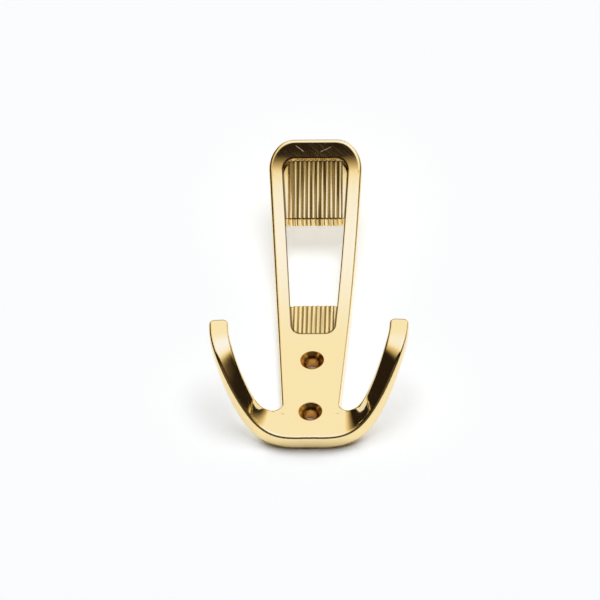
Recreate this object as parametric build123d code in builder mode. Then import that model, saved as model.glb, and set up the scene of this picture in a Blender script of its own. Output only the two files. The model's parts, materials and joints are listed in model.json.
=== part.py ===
"""Cast wall hook: a leaning ribbed loop on a screw plate, with an arm on each side.

One casting. The wall is the plane Y = 0 and the hook comes forward along -Y, +Z is up.
The origin is on the wall, midway between the two screw holes. All sizes are millimetres.
"""

import os
from math import asin, cos, degrees, radians, sin

from build123d import *

# Screw plate and stem
plate_thickness = 6.0
hole_spacing = 24.0
hole_diameter = 4.5
screw_head_diameter = 8.5
screw_head_angle = 90.0
lower_hole_height = 12.5
stem_height = 119.5
stem_foot_width = 18.5
stem_top_width = 34.4
stem_corner_radius = 9.0
foot_corner_radius = 8.5
foot_inset = 0.3

# Forward lean of the stem, an arc that starts above the upper hole
lean_start_height = 43.5
lean_radius = 125.0

# Loop: rails, pocket and window
rail_width = 5.0
top_bar_width = 6.4
pocket_floor_height = 49.0
window_bottom_height = 62.0
window_top_height = 95.0
pocket_depth = 1.9
ramp_foot_depth = 1.0
pocket_top_corner_radius = 4.0
pocket_foot_corner_radius = 3.5

# Ribs
rib_pitch = 1.6
rib_height = 0.6
rib_valley_height = 0.1
upper_rib_count = 12
lower_rib_count = 9
rib_root = 1.0
rib_end_margin = 0.6

# Arms, swept out, forward and up
arm_sweep_start = 5.0
arm_sweep_radius = 30.4
arm_sweep_angle = 87.0
arm_tip_length = 4.5
arm_width = 6.9
arm_tip_thickness = 4.8
arm_projection = 26.3
arm_lift_start = 2.0
arm_lift_length = 44.0
arm_flare = 4.9
arm_flare_start = 4.0
arm_flare_length = 22.0
crotch_radius = 4.5
gusset_edge_radius = 0.8
section_turn_start = 8.0
section_turn_end = 48.0
arm_tip_radius = 2.0
arm_edge_radius = 1.1
arm_root_sink = 0.03
arm_section_count = 19

# Rounded edges
stem_edge_radius = 1.1
loop_edge_radius = 0.5

# Heights in the part's frame, and the lean's end
foot_z = -lower_hole_height - hole_spacing / 2
top_z = foot_z + stem_height
lean_z = foot_z + lean_start_height
pocket_floor_z = foot_z + pocket_floor_height
pocket_top_z = top_z - top_bar_width
window_bottom_z = foot_z + window_bottom_height
window_top_z = foot_z + window_top_height
front_y = -plate_thickness
reach_y = 3 * front_y - stem_height


def lean_angle(z):
    """Lean of the stem at a height, in degrees from the wall."""
    return degrees(asin(max(0.0, z - lean_z) / lean_radius))


def lean_y(z):
    """How far the lean carries the stem along Y at a height."""
    return -lean_radius * (1 - cos(radians(lean_angle(z))))


def stem_half_width(z):
    """Half the stem's width at a height, from its straight taper."""
    share = (z - foot_z) / stem_height
    return (stem_foot_width + (stem_top_width - stem_foot_width) * share) / 2


def lean_curve(offset, low_z, high_z):
    """The stem's lean between two heights, moved along Y by an offset."""
    middle_z = (low_z + high_z) / 2
    return ThreePointArc(
        (offset + lean_y(low_z), low_z),
        (offset + lean_y(middle_z), middle_z),
        (offset + lean_y(high_z), high_z),
    )


# Stem: the side profile trimmed by the front outline
with BuildPart() as hook:
    with BuildSketch(Plane.YZ):
        with BuildLine():
            wall_line = Line((0, foot_z + foot_inset), (0, lean_z))
            back_lean = lean_curve(0, lean_z, top_z)
            front_lean = lean_curve(front_y, lean_z, top_z)
            front_line = Line((front_y, lean_z), (front_y, foot_z + foot_inset))
            Line(back_lean @ 1, front_lean @ 1)
            Line(front_line @ 1, wall_line @ 0)
        make_face()
    extrude(amount=stem_top_width, both=True)
    with BuildSketch(Plane.XZ) as outline:
        with BuildLine():
            Polyline(
                (-stem_foot_width / 2, foot_z + foot_inset),
                (stem_foot_width / 2, foot_z + foot_inset),
                (stem_top_width / 2, top_z),
                (-stem_top_width / 2, top_z),
                close=True,
            )
        make_face()
        fillet(outline.vertices().group_by(Axis.Y)[-1], stem_corner_radius)
        fillet(outline.vertices().group_by(Axis.Y)[0], foot_corner_radius)
    extrude(amount=-reach_y, mode=Mode.INTERSECT)
    front_faces = hook.faces().filter_by(lambda face: face.normal_at().Y < -0.5)
    seam = front_faces[0].edges().filter_by(lambda edge: edge in front_faces[1].edges())
    fillet(front_faces.edges().filter_by(lambda edge: edge not in seam), stem_edge_radius)

# Space in front of the pocket's floor, and the window through it
with BuildPart() as pocket:
    with BuildSketch(Plane.YZ):
        with BuildLine():
            floor = lean_curve(front_y + pocket_depth, window_bottom_z, pocket_top_z)
            ramp_foot = (front_y + lean_y(pocket_floor_z) + ramp_foot_depth, pocket_floor_z)
            Line(floor @ 0, ramp_foot)
            Line(ramp_foot, (reach_y, pocket_floor_z))
            Line((reach_y, pocket_floor_z), (reach_y, pocket_top_z))
            Line((reach_y, pocket_top_z), floor @ 1)
        make_face()
    extrude(amount=stem_top_width, both=True)
    with BuildSketch(Plane.YZ):
        with Locations((reach_y / 2, (window_bottom_z + window_top_z) / 2)):
            Rectangle(-2 * reach_y, window_top_z - window_bottom_z)
    extrude(amount=stem_top_width, both=True)
    with BuildSketch(Plane.XZ) as opening:
        with BuildLine():
            foot_x = stem_half_width(pocket_floor_z) - rail_width
            head_x = stem_half_width(pocket_top_z) - rail_width
            Polyline(
                (-foot_x, pocket_floor_z),
                (foot_x, pocket_floor_z),
                (head_x, pocket_top_z),
                (-head_x, pocket_top_z),
                close=True,
            )
        make_face()
        fillet(opening.vertices().group_by(Axis.Y)[-1], pocket_top_corner_radius)
        fillet(opening.vertices().group_by(Axis.Y)[0], pocket_foot_corner_radius)
    extrude(amount=-2 * reach_y, both=True, mode=Mode.INTERSECT)

# Ribs are round across: the crest and the valleys give the radius and how deep the axis lies
rib_rise = rib_height - rib_valley_height
rib_radius = ((rib_pitch / 2) ** 2 + rib_rise**2) / (2 * rib_rise)
rib_axis_depth = rib_radius - rib_height

# One rib of the upper web, which turns under the web's lower edge
with BuildPart() as upper_rib:
    with BuildLine(Plane.YZ) as rib_path:
        axis_z = window_top_z + rib_axis_depth
        web_axis = lean_curve(front_y + pocket_depth + rib_axis_depth, axis_z, pocket_top_z + rib_root)
        Line((lean_y(window_top_z) - rib_end_margin, axis_z), web_axis @ 0)
    with BuildSketch(Plane.XZ.offset(-(lean_y(window_top_z) - rib_end_margin))):
        with Locations((0, axis_z)):
            Circle(rib_radius)
    sweep(path=rib_path.wires()[0], transition=Transition.ROUND)

# One rib of the lower ramp
with BuildPart() as lower_rib:
    ramp_foot_y = front_y + lean_y(pocket_floor_z) + ramp_foot_depth
    ramp_head_y = front_y + lean_y(window_bottom_z) + pocket_depth
    ramp = Vector(0, ramp_head_y - ramp_foot_y, window_bottom_z - pocket_floor_z)
    root = Vector(0, ramp_foot_y + rib_axis_depth, pocket_floor_z) - ramp.normalized() * rib_root
    with BuildSketch(Plane.XY.offset(root.Z)):
        with Locations((0, root.Y)):
            Circle(rib_radius)
    extrude(amount=ramp.length + rib_root, dir=ramp.normalized())


def ease(share):
    """Smooth step from 0 to 1."""
    share = min(max(share, 0.0), 1.0)
    return share**3 * (10 - 15 * share + 6 * share**2)


def arm_outer_edge(distance):
    """Heading in degrees and place of an arm's outer edge, seen from the front."""
    swept = min(max(distance / arm_sweep_radius, 0.0), radians(arm_sweep_angle))
    straight = distance - arm_sweep_radius * swept
    x = arm_sweep_start + arm_sweep_radius * sin(swept) + straight * cos(swept)
    z = foot_z + arm_sweep_radius * (1 - cos(swept)) + straight * sin(swept)
    return degrees(swept), x, z


def arm_section_width(distance):
    """Width of an arm's section, which flares towards the stem."""
    return arm_width + arm_flare * (1 - ease((distance - arm_flare_start) / arm_flare_length))


def arm_lift(distance):
    """How far an arm has come forward of the plate's face, just under it inside the stem."""
    sink = arm_root_sink * (1 - ease(distance / arm_sweep_start))
    return arm_projection * ease((distance - arm_lift_start) / arm_lift_length) - sink


arm_length = arm_sweep_radius * radians(arm_sweep_angle) + arm_tip_length
arm_root_thickness = plate_thickness - 2 * arm_root_sink

# Arm: sections along an outer edge that sweeps out and up while the arm comes forward
with BuildPart() as arm:
    for station in range(arm_section_count):
        share = station / (arm_section_count - 1)
        distance = (arm_sweep_start + arm_length) * share - arm_sweep_start
        heading, x, z = arm_outer_edge(distance)
        turn = heading * ease((heading - section_turn_start) / (section_turn_end - section_turn_start))
        width = arm_section_width(distance)
        slope = arm_lift(distance + 0.5) - arm_lift(distance - 0.5)
        taper = max(distance, 0.0) / arm_length
        thickness = arm_root_thickness + (arm_tip_thickness - arm_root_thickness) * taper
        depth = thickness * (1 + slope**2) ** 0.5
        inward = Vector(-sin(radians(turn)), 0, cos(radians(turn)))
        middle = Vector(x, front_y - arm_lift(distance) + depth / 2, z) + inward * width / 2
        section = Plane(origin=middle, x_dir=inward, z_dir=(cos(radians(turn)), 0, sin(radians(turn))))
        with BuildSketch(section):
            Rectangle(width, depth)
    loft()
    tip = arm.faces().sort_by(Axis.Z)[-1]
    fillet(tip.edges().sort_by(SortBy.LENGTH)[:2], arm_tip_radius)
    root = arm.faces().sort_by(Axis.X)[0]
    front_and_back = arm.faces().filter_by(lambda face: abs(face.normal_at().Y) > 0.5)
    fillet(front_and_back.edges().filter_by(lambda edge: edge not in root.edges()), arm_edge_radius)


# Gusset: a hollow fillet between the stem's side and an arm's upper edge, which follows the arm forward
with BuildPart() as gusset:
    gusset_x = stem_half_width(foot_z + arm_width + arm_flare)
    gusset_end = gusset_x + crotch_radius - arm_sweep_start
    gusset_z = arm_outer_edge(gusset_end)[2] + arm_section_width(gusset_end)
    gusset_middle = gusset_end - crotch_radius / 2
    tilt = asin(arm_lift(gusset_middle) / (crotch_radius / 2))
    gusset_front = Plane(
        origin=(gusset_x, front_y + arm_root_sink, gusset_z),
        x_dir=(cos(tilt), -sin(tilt), 0),
        z_dir=(-sin(tilt), -cos(tilt), 0),
    )
    with BuildSketch(gusset_front):
        with BuildLine():
            hollow = RadiusArc((0, crotch_radius), (crotch_radius, 0), -crotch_radius)
            Polyline(
                hollow @ 1,
                (crotch_radius, -2 * arm_edge_radius),
                (-stem_edge_radius, -2 * arm_edge_radius),
                (-stem_edge_radius, crotch_radius),
                hollow @ 0,
            )
        make_face()
    extrude(amount=arm_root_thickness, dir=(0, 1, 0))
    split(bisect_by=Plane.XZ.offset(arm_root_sink), keep=Keep.TOP)
    fillet(gusset.edges().filter_by(GeomType.CIRCLE).sort_by(Axis.Y)[0], gusset_edge_radius)


def on_stem_front(edge):
    """Whether an edge lies on the stem's front face."""
    middle = edge.position_at(0.5)
    return abs(middle.Y - front_y - lean_y(middle.Z)) < 0.001


# The whole casting
with BuildPart() as hook_body:
    add(hook.part)
    add(pocket.part, mode=Mode.SUBTRACT)
    rim = hook_body.edges(Select.LAST).filter_by(on_stem_front)
    fillet(rim, loop_edge_radius)
    for count, rib in ((upper_rib_count, upper_rib), (lower_rib_count, lower_rib)):
        with GridLocations(rib_pitch, 0, count, 1):
            add(rib.part)
    for piece in (arm, gusset):
        add(piece.part)
        add(mirror(piece.part, about=Plane.YZ, mode=Mode.PRIVATE))
    with Locations(Plane.XZ.offset(plate_thickness)):
        with GridLocations(0, hole_spacing, 1, 2):
            CounterSinkHole(
                radius=hole_diameter / 2,
                counter_sink_radius=screw_head_diameter / 2,
                counter_sink_angle=screw_head_angle,
            )

hook_body.part.label = "hook_body"

os.makedirs("parts", exist_ok=True)
export_step(hook_body.part, "parts/hook_body.step")
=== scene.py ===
import json
from math import cos, radians, sin

import bpy
from mathutils import Matrix, Vector

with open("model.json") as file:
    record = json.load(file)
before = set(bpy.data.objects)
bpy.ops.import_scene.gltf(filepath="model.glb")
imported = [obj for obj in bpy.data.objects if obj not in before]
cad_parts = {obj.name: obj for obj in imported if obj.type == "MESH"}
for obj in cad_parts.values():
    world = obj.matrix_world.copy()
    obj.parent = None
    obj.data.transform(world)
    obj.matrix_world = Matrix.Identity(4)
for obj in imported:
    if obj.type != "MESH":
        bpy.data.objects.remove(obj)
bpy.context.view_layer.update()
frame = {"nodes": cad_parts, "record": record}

scene = bpy.context.scene
scene.view_settings.view_transform = "Standard"

# A fade, an edge or a change is a pair: the value where it starts and the value where it is complete.
# Lengths are in metres, in the hook's own frame.
MM = 0.001

# Camera: in front of the hook and below it, a little to its right, with the foot's front edge as its mark
CAMERA_DROP = radians(40.8)
CAMERA_SIDE = radians(3.6)
CAMERA_ROLL = radians(2.0)
CAMERA_DISTANCE = 10.0
SENSOR_WIDTH = 36.0
FRAME_WIDTH = 0.2125
FOOT_EDGE = Vector((0.0, -6.0 * MM, -24.5 * MM))
MIDDLE_LEFT_OF_FOOT = 3.29 * MM
MIDDLE_ABOVE_FOOT = 48.9 * MM

# Softbox: its four edges by the angle seen from the hook, how much three of them slant,
# and a dimmer band along its foot
BOX_FOOT = (radians(-28), radians(-22))
BOX_FOOT_SLANT = 0.068
BOX_DIM_BAND = (radians(-25), radians(-15))
BOX_DIM_LEVEL = 0.86
BOX_LEFT = (radians(-56), radians(-18))
BOX_LEFT_SLANT = 0.25
BOX_RIGHT = (radians(78), radians(36))
BOX_RIGHT_SLANT = -0.5
BOX_TOP = (radians(74), radians(58))

# The brighter middle of the softbox, and the faint light from the floor
GLOW_SIDE = radians(15)
GLOW_HEIGHT = radians(2)
GLOW_FLATNESS = 1.15
GLOW_FADE = (radians(50), 0.0)
GLOW_LEVEL = 1.25
FLOOR_FADE = (radians(-38), radians(-55))
FLOOR_LEVEL = 0.1

# Light of the studio by its level: the dark room, the softbox's warm edges, its white and its cool middle
TONES = (
    (0.0, (0.02, 0.014, 0.010)),
    (0.3, (0.30, 0.235, 0.13)),
    (0.6, (0.60, 0.50, 0.33)),
    (0.9, (0.90, 0.82, 0.60)),
    (1.0, (1.0, 1.03, 1.07)),
    (GLOW_LEVEL, (1.03, 1.21, 1.95)),
)
WHITE = (1.0, 1.0, 1.0, 1.0)

# Soft lamp that lights the wall, from a little above the hook and to its right
LAMP_HEIGHT = radians(9)
LAMP_SIDE = radians(6)
LAMP_SPREAD = radians(38)
LAMP_ENERGY = 1.5

# Ambient light of the wall, which comes mostly from above and is lost close to the hook
AMBIENT_HEIGHT = radians(60)
AMBIENT_REACH = 60.0 * MM
AMBIENT_FADE = (0.40, 0.64)
AMBIENT_STRENGTH = 0.56
AMBIENT_COLOUR = (0.95, 0.98, 1.0, 1.0)
OCCLUSION_SAMPLES = 16

WALL_PAINT = (0.9, 0.9, 0.9, 1.0)
WALL_HALF = 1.5
WALL_BEHIND = 0.1 * MM

# Surface that faces away from the wall, by its normal's part along Y
NOT_BACK_FADE = (0.35, 0.1)
FRONT_FADE = (0.0, -0.3)

# Recesses, by how open they are: their colour darkened as painted shade, their roughness raised as polishing
# doesn't reach them
RECESS_REACH = 1.2 * MM
RECESS_SHADE_FADE = (0.75, 0.3)

# Ribbed fields of the loop: half widths on the ramp and on the web, the height where one gives
# way to the other, and their ends
FIELD_HALF_WIDTHS = (7.2 * MM, 9.6 * MM)
FIELD_CHANGE = (49.0 * MM, 51.0 * MM)
FIELD_SIDE_FADE = (0.1 * MM, -0.1 * MM)
FIELD_FOOT_FADE = (24.0 * MM, 25.0 * MM)
FIELD_TOP_FADE = (88.8 * MM, 88.0 * MM)

# Fine dark streaks along the ribs, half as strong on the ramp: partly casting texture, partly painted shade
# and reflection of the ribs' flanks
STREAK_STRETCH = (1.0, 0.0, 0.02)
STREAK_SCALE = 2000.0
STREAK_DETAIL = 1.0
STREAK_FADE = (0.50, 0.62)
STREAK_DEPTHS = (0.05, 0.95)
STREAK_SHARES = (0.5, 1.0)

# Screw holes, from the imported record, with a ring of painted shade at the foot of each countersink
HOLES = next(mount["dims"] for mount in frame["record"]["mounts"] if mount["name"] == "screw_holes")
HOLE_HEIGHT = 0.5 * HOLES["spacing_y_mm"] * MM
HOLE_RADIUS = HOLES["hole_r_mm"] * MM
CONE_RADIUS = 4.25 * MM
CONE_FADE = (CONE_RADIUS + 0.15 * MM, CONE_RADIUS - 0.15 * MM)
SHADE_RING_INNER_FADE = (HOLE_RADIUS - 0.05 * MM, HOLE_RADIUS + 0.25 * MM)
SHADE_RING_OUTER_FADE = (HOLE_RADIUS + 1.05 * MM, HOLE_RADIUS + 0.55 * MM)

# Faint lines of polishing, all one way
POLISH_SLOPE = radians(35)
POLISH_STRETCH = 20.0
POLISH_SCALE = 3000.0
POLISH_DETAIL = 1.0
POLISH_FADE = (0.45, 0.75)

# Scratches on the top bar's front: middle across and up, length, slope in degrees and depth
SCRATCHES = (
    (-5.6 * MM, 91.5 * MM, 3.6 * MM, -32, 1.0),
    (3.8 * MM, 91.2 * MM, 5.2 * MM, 20, 0.5),
)
SCRATCH_SIDE_FADE = (0.12 * MM, 0.04 * MM)
SCRATCH_END_FADE = (0.5, 0.3)
TOP_BAR_FRONT_FADE = (-27.0 * MM, -27.6 * MM)

# Pocket of the loop: a tapered outline with rounded corners, and a band of painted shade along its rim, for
# the dark reflection in the rounded edge
POCKET_HALF_WIDTH = 5.88 * MM
POCKET_TAPER = 0.0665
POCKET_MIDDLE = 56.55 * MM
POCKET_HALF_HEIGHT = 32.05 * MM
POCKET_RADIUS = 3.7 * MM
RIM_SHADE_FADE = (0.6 * MM, 0.2 * MM)
RIM_SHADE_DEPTH = 0.85

# Colours of the plating, and of painted shade and reflection: rib streaks, countersink cones, rings at the
# holes' feet, recesses and the pocket's rim
GOLD_WARM = (0.96, 0.76, 0.39, 1.0)
GOLD_COOL = (0.94, 0.75, 0.40, 1.0)
STREAK_SHADE_COLOUR = (0.34, 0.23, 0.07, 1.0)
CONE_REFLECTION_COLOUR = (0.82, 0.46, 0.11, 1.0)
RING_SHADE_COLOUR = (0.16, 0.09, 0.03, 1.0)
RECESS_SHADE_COLOUR = (0.24, 0.165, 0.055, 1.0)
RIM_SHADE_COLOUR = (0.22, 0.13, 0.04, 1.0)

# Roughness of the polished plating, and what each finish adds to it
BLOTCH_SCALE = 90.0
BLOTCH_DETAIL = 4.0
BLOTCH_FADE = (0.2, 0.8)
POLISHED_ROUGHNESS = (0.06, 0.09)
RECESS_ROUGHNESS = 0.2
RIB_ROUGHNESS = 0.1
CONE_ROUGHNESS = 0.18
POLISH_ROUGHNESS = 0.05
SCRATCH_ROUGHNESS = 0.45

# Slight unevenness of the plating, and the rounding of edges outside the ribs
GRAIN_SCALE = 260.0
GRAIN_DETAIL = 2.0
GRAIN_HEIGHT = 0.004 * MM
EDGE_ROUNDING = 0.6 * MM
EDGE_SAMPLES = 8


class Tree:
    """Short calls for building a shader's nodes."""

    def __init__(self, tree):
        self.tree = tree
        tree.nodes.clear()

    def node(self, kind, inputs=None, **settings):
        """New node, with each input a constant or a link."""
        made = self.tree.nodes.new(kind)
        for name, value in settings.items():
            setattr(made, name, value)
        for key, value in (inputs or {}).items():
            self.put(made.inputs[key], value)
        return made

    def put(self, socket, value):
        if isinstance(value, bpy.types.NodeSocket):
            self.tree.links.new(value, socket)
        else:
            socket.default_value = value

    def math(self, operation, first, second=0.0):
        return self.node("ShaderNodeMath", {0: first, 1: second}, operation=operation).outputs[0]

    def product(self, first, *others):
        for other in others:
            first = self.math("MULTIPLY", first, other)
        return first

    def hypotenuse(self, first, second):
        """Root of the sum of two squares."""
        squares = self.math("ADD", self.product(first, first), self.product(second, second))
        return self.math("SQRT", squares)

    def slanted(self, value, other, slope):
        """A value that shifts with another one."""
        return self.math("ADD", value, self.math("MULTIPLY", other, slope))

    def step(self, value, low, high, to_low=0.0, to_high=1.0):
        """Smooth change of a value's range."""
        made = self.node(
            "ShaderNodeMapRange",
            {0: value, 1: low, 2: high, 3: to_low, 4: to_high},
            interpolation_type="SMOOTHSTEP",
        )
        return made.outputs[0]

    def axes(self, vector):
        """The X, Y and Z parts of a vector."""
        return self.node("ShaderNodeSeparateXYZ", {0: vector}).outputs

    def noise(self, vector, scale, detail):
        inputs = {"Vector": vector, "Scale": scale, "Detail": detail}
        return self.node("ShaderNodeTexNoise", inputs).outputs["Fac"]

    def blend(self, amount, first, second):
        """Mix of two colours."""
        return self.node("ShaderNodeMix", {0: amount, 6: first, 7: second}, data_type="RGBA").outputs[2]

    def mix(self, amount, first, second):
        """Mix of two shaders."""
        inputs = {0: amount, 1: first.outputs[0], 2: second.outputs[0]}
        return self.node("ShaderNodeMixShader", inputs)


def direction(side, height):
    """Unit vector from the hook towards an azimuth, from straight out of the wall, and an elevation."""
    return Vector((sin(side) * cos(height), -cos(side) * cos(height), sin(height)))


def make_camera():
    towards = direction(CAMERA_SIDE, -CAMERA_DROP)
    level = Vector((cos(CAMERA_SIDE), sin(CAMERA_SIDE), 0.0))
    upright = towards.cross(level)
    right = level * cos(CAMERA_ROLL) + upright * sin(CAMERA_ROLL)
    up = upright * cos(CAMERA_ROLL) - level * sin(CAMERA_ROLL)
    target = FOOT_EDGE - MIDDLE_LEFT_OF_FOOT * right + MIDDLE_ABOVE_FOOT * up
    turned = Matrix((right, up, towards)).transposed().to_4x4()

    data = bpy.data.cameras.new("camera")
    data.sensor_width = SENSOR_WIDTH
    data.lens = SENSOR_WIDTH * CAMERA_DISTANCE / FRAME_WIDTH
    camera = bpy.data.objects.new("camera", data)
    camera.matrix_world = Matrix.Translation(target + towards * CAMERA_DISTANCE) @ turned
    scene.collection.objects.link(camera)
    scene.camera = camera


def softbox_light(t, side, height):
    """Level of the studio's light in a direction: one broad softbox in front of the hook and to its right."""
    low = t.slanted(height, side, BOX_FOOT_SLANT)
    box = t.product(
        t.step(low, *BOX_FOOT),
        t.step(low, *BOX_DIM_BAND, BOX_DIM_LEVEL, 1.0),
        t.step(height, *BOX_TOP),
        t.step(t.slanted(side, height, BOX_LEFT_SLANT), *BOX_LEFT),
        t.step(t.slanted(side, height, BOX_RIGHT_SLANT), *BOX_RIGHT),
    )
    across = t.math("SUBTRACT", side, GLOW_SIDE)
    along = t.math("MULTIPLY", t.math("SUBTRACT", height, GLOW_HEIGHT), GLOW_FLATNESS)
    glow = t.step(t.hypotenuse(across, along), *GLOW_FADE, 1.0, GLOW_LEVEL)
    floor = t.step(height, *FLOOR_FADE, 0.0, FLOOR_LEVEL)
    return t.math("MAXIMUM", t.product(box, glow), floor)


def make_world():
    """The dark studio that the metal mirrors, with white in its place for the camera."""
    world = bpy.data.worlds.new("studio")
    world.use_nodes = True
    scene.world = world
    # The studio lights the metal alone
    world.cycles_visibility.diffuse = False
    t = Tree(world.node_tree)
    x, y, z = t.axes(t.node("ShaderNodeTexCoord").outputs["Generated"])
    height = t.math("ARCSINE", z)
    side = t.math("ARCTAN2", x, t.math("MULTIPLY", y, -1.0))
    light = softbox_light(t, side, height)

    tones = t.node("ShaderNodeValToRGB", {0: t.math("DIVIDE", light, GLOW_LEVEL)})
    stops = tones.color_ramp.elements
    for number, (level, colour) in enumerate(TONES):
        at_end = number in (0, len(TONES) - 1)
        stop = stops[number] if at_end else stops.new(level / GLOW_LEVEL)
        stop.color = (*colour, 1.0)

    studio = t.node("ShaderNodeBackground", {"Color": tones.outputs[0], "Strength": 1.0})
    white = t.node("ShaderNodeBackground", {"Color": WHITE, "Strength": 1.0})
    to_camera = t.node("ShaderNodeLightPath").outputs["Is Camera Ray"]
    t.node("ShaderNodeOutputWorld", {0: t.mix(to_camera, studio, white).outputs[0]})


def make_lamp():
    """Soft lamp for the wall, which the metal doesn't mirror."""
    data = bpy.data.lights.new("soft_lamp", "SUN")
    data.angle = LAMP_SPREAD
    data.energy = LAMP_ENERGY
    lamp = bpy.data.objects.new("soft_lamp", data)
    lamp.rotation_euler = direction(LAMP_SIDE, LAMP_HEIGHT).to_track_quat("Z", "Y").to_euler()
    lamp.visible_glossy = False
    scene.collection.objects.link(lamp)


def wall_white():
    """White paint with an ambient light of its own, clear when seen from behind."""
    material = bpy.data.materials.new("wall_white")
    material.use_nodes = True
    t = Tree(material.node_tree)
    lit_from = t.node("ShaderNodeCombineXYZ", dict(enumerate(direction(0.0, AMBIENT_HEIGHT))))
    reached = t.node(
        "ShaderNodeAmbientOcclusion",
        {"Distance": AMBIENT_REACH, "Normal": lit_from.outputs[0]},
        samples=OCCLUSION_SAMPLES,
    )
    strength = t.step(reached.outputs["AO"], *AMBIENT_FADE, 0.0, AMBIENT_STRENGTH)
    ambient = t.node("ShaderNodeEmission", {"Color": AMBIENT_COLOUR, "Strength": strength})
    diffuse = t.node("ShaderNodeBsdfDiffuse", {"Color": WALL_PAINT})
    paint = t.node("ShaderNodeAddShader", {0: ambient.outputs[0], 1: diffuse.outputs[0]})
    clear = t.node("ShaderNodeBsdfTransparent")
    backfacing = t.node("ShaderNodeNewGeometry").outputs["Backfacing"]
    t.node("ShaderNodeOutputMaterial", {0: t.mix(backfacing, paint, clear).outputs[0]})
    return material


def make_wall():
    """The surface that the hook's back lies on."""
    mesh = bpy.data.meshes.new("wall")
    around = ((-1, -1), (1, -1), (1, 1), (-1, 1))
    corners = [(across * WALL_HALF, WALL_BEHIND, up * WALL_HALF) for across, up in around]
    mesh.from_pydata(corners, [], [(0, 1, 2, 3)])
    wall = bpy.data.objects.new("wall", mesh)
    wall.data.materials.append(wall_white())
    scene.collection.objects.link(wall)


def ribbed_fields(t, beside, z, not_back):
    """Where the ribs of the ramp and the web are."""
    half_width = t.step(z, *FIELD_CHANGE, *FIELD_HALF_WIDTHS)
    return t.product(
        not_back,
        t.step(t.math("SUBTRACT", beside, half_width), *FIELD_SIDE_FADE),
        t.step(z, *FIELD_FOOT_FADE),
        t.step(z, *FIELD_TOP_FADE),
    )


# Dark streaks along the ribs: partly casting texture, partly painted shade and reflection of the ribs' flanks
def rib_streaks_and_shade(t, place, z, ribbed):
    drawn = t.node("ShaderNodeVectorMath", {0: place, 1: STREAK_STRETCH}, operation="MULTIPLY")
    streaks = t.noise(drawn.outputs[0], STREAK_SCALE, STREAK_DETAIL)
    share = t.step(z, *FIELD_CHANGE, *STREAK_SHARES)
    return t.product(ribbed, share, t.step(streaks, *STREAK_FADE, *STREAK_DEPTHS))


def screw_holes(t, x, z, not_back):
    """The countersinks' cones, and the ring of painted shade at the foot of each."""
    from_hole = t.hypotenuse(t.math("SUBTRACT", t.math("ABSOLUTE", z), HOLE_HEIGHT), x)
    cone = t.product(not_back, t.step(from_hole, *CONE_FADE))
    shade_ring = t.product(t.step(from_hole, *SHADE_RING_INNER_FADE), t.step(from_hole, *SHADE_RING_OUTER_FADE), cone)
    return cone, shade_ring


def polishing_lines(t, place):
    tilted = t.node(
        "ShaderNodeMapping",
        {
            "Vector": place,
            "Rotation": (0.0, POLISH_SLOPE, 0.0),
            "Scale": (POLISH_STRETCH, POLISH_STRETCH, 1.0),
        },
        vector_type="TEXTURE",
    )
    return t.step(t.noise(tilted.outputs[0], POLISH_SCALE, POLISH_DETAIL), *POLISH_FADE)


def scratch_marks(t, place, y):
    marks = 0.0
    for across, high, length, slope, depth in SCRATCHES:
        line = t.node(
            "ShaderNodeMapping",
            {"Vector": place, "Location": (across, 0.0, high), "Rotation": (0.0, radians(-slope), 0.0)},
            vector_type="TEXTURE",
        )
        along, _, off = t.axes(line.outputs[0])
        ends = [share * length for share in SCRATCH_END_FADE]
        mark = t.product(
            t.step(t.math("ABSOLUTE", off), *SCRATCH_SIDE_FADE, 0.0, depth),
            t.step(t.math("ABSOLUTE", along), *ends),
        )
        marks = t.math("MAXIMUM", marks, mark)
    return t.product(marks, t.step(y, *TOP_BAR_FRONT_FADE))


def pocket_rim_shade(t, beside, z, front):
    """Narrow band of painted shade along the pocket's outline, by the distance from it."""
    half_width = t.math("ADD", t.math("MULTIPLY", z, POCKET_TAPER), POCKET_HALF_WIDTH)
    past_side = t.math("ADD", t.math("SUBTRACT", beside, half_width), POCKET_RADIUS)
    off_middle = t.math("ABSOLUTE", t.math("SUBTRACT", z, POCKET_MIDDLE))
    past_end = t.math("ADD", off_middle, POCKET_RADIUS - POCKET_HALF_HEIGHT)
    outside = t.hypotenuse(t.math("MAXIMUM", past_side, 0.0), t.math("MAXIMUM", past_end, 0.0))
    inside = t.math("MINIMUM", t.math("MAXIMUM", past_side, past_end), 0.0)
    from_rim = t.math("ABSOLUTE", t.math("SUBTRACT", t.math("ADD", outside, inside), POCKET_RADIUS))
    return t.product(front, t.step(from_rim, *RIM_SHADE_FADE, 0.0, RIM_SHADE_DEPTH))


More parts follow.
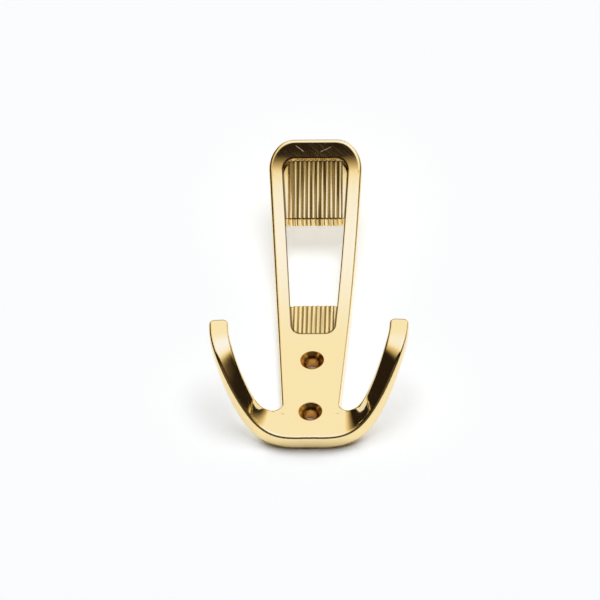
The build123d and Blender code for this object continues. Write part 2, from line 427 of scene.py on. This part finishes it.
def gold_plating():
    """Polished gold plating, rougher in the recesses that polishing doesn't reach, with painted shade in
    those recesses, on the pocket's rim and at the countersinks' feet, and painted reflections in the cones
    and on the ribs.
    """
    material = bpy.data.materials.new("gold_plating")
    material.use_nodes = True
    t = Tree(material.node_tree)
    place = t.node("ShaderNodeTexCoord").outputs["Object"]
    x, y, z = t.axes(place)
    beside = t.math("ABSOLUTE", x)
    facing = t.axes(t.node("ShaderNodeNewGeometry").outputs["Normal"])[1]
    not_back = t.step(facing, *NOT_BACK_FADE)
    front = t.step(facing, *FRONT_FADE)

    openness = t.node(
        "ShaderNodeAmbientOcclusion",
        {"Distance": RECESS_REACH},
        samples=OCCLUSION_SAMPLES,
        only_local=True,
    )
    recess_shade = t.step(openness.outputs["AO"], *RECESS_SHADE_FADE)
    ribbed = ribbed_fields(t, beside, z, not_back)
    cone, shade_ring = screw_holes(t, x, z, not_back)
    blotches = t.noise(place, BLOTCH_SCALE, BLOTCH_DETAIL)

    colour = t.blend(blotches, GOLD_WARM, GOLD_COOL)
    # Painted shade and reflection, partly casting texture: dark streaks in the ribbed fields
    colour = t.blend(rib_streaks_and_shade(t, place, z, ribbed), colour, STREAK_SHADE_COLOUR)
    # Painted reflection: amber colour of the countersink cones
    colour = t.blend(cone, colour, CONE_REFLECTION_COLOUR)
    # Painted shade: dark ring at the foot of each countersink
    colour = t.blend(shade_ring, colour, RING_SHADE_COLOUR)
    # Painted shade: darker colour in recesses, by ambient occlusion
    colour = t.blend(recess_shade, colour, RECESS_SHADE_COLOUR)
    # Painted shade: dark band along the pocket's rim
    colour = t.blend(pocket_rim_shade(t, beside, z, front), colour, RIM_SHADE_COLOUR)

    roughness = t.step(blotches, *BLOTCH_FADE, *POLISHED_ROUGHNESS)
    finishes = (
        (recess_shade, RECESS_ROUGHNESS),
        (ribbed, RIB_ROUGHNESS),
        (cone, CONE_ROUGHNESS),
        (polishing_lines(t, place), POLISH_ROUGHNESS),
        (scratch_marks(t, place, y), SCRATCH_ROUGHNESS),
    )
    for where, more in finishes:
        roughness = t.slanted(roughness, where, more)

    grain = t.noise(place, GRAIN_SCALE, GRAIN_DETAIL)
    rounding = t.step(ribbed, 0.0, 1.0, EDGE_ROUNDING, 0.0)
    rounded = t.node("ShaderNodeBevel", {"Radius": rounding}, samples=EDGE_SAMPLES)
    bumps = t.node(
        "ShaderNodeBump",
        {"Strength": 1.0, "Distance": GRAIN_HEIGHT, "Height": grain, "Normal": rounded.outputs[0]},
    )
    shine = t.node(
        "ShaderNodeBsdfPrincipled",
        {"Base Color": colour, "Metallic": 1.0, "Roughness": roughness, "Normal": bumps.outputs[0]},
    )
    t.node("ShaderNodeOutputMaterial", {0: shine.outputs[0]})
    return material


make_camera()
make_world()
make_lamp()
make_wall()

body = frame["nodes"]["hook_body"]
body.data.materials.clear()
body.data.materials.append(gold_plating())
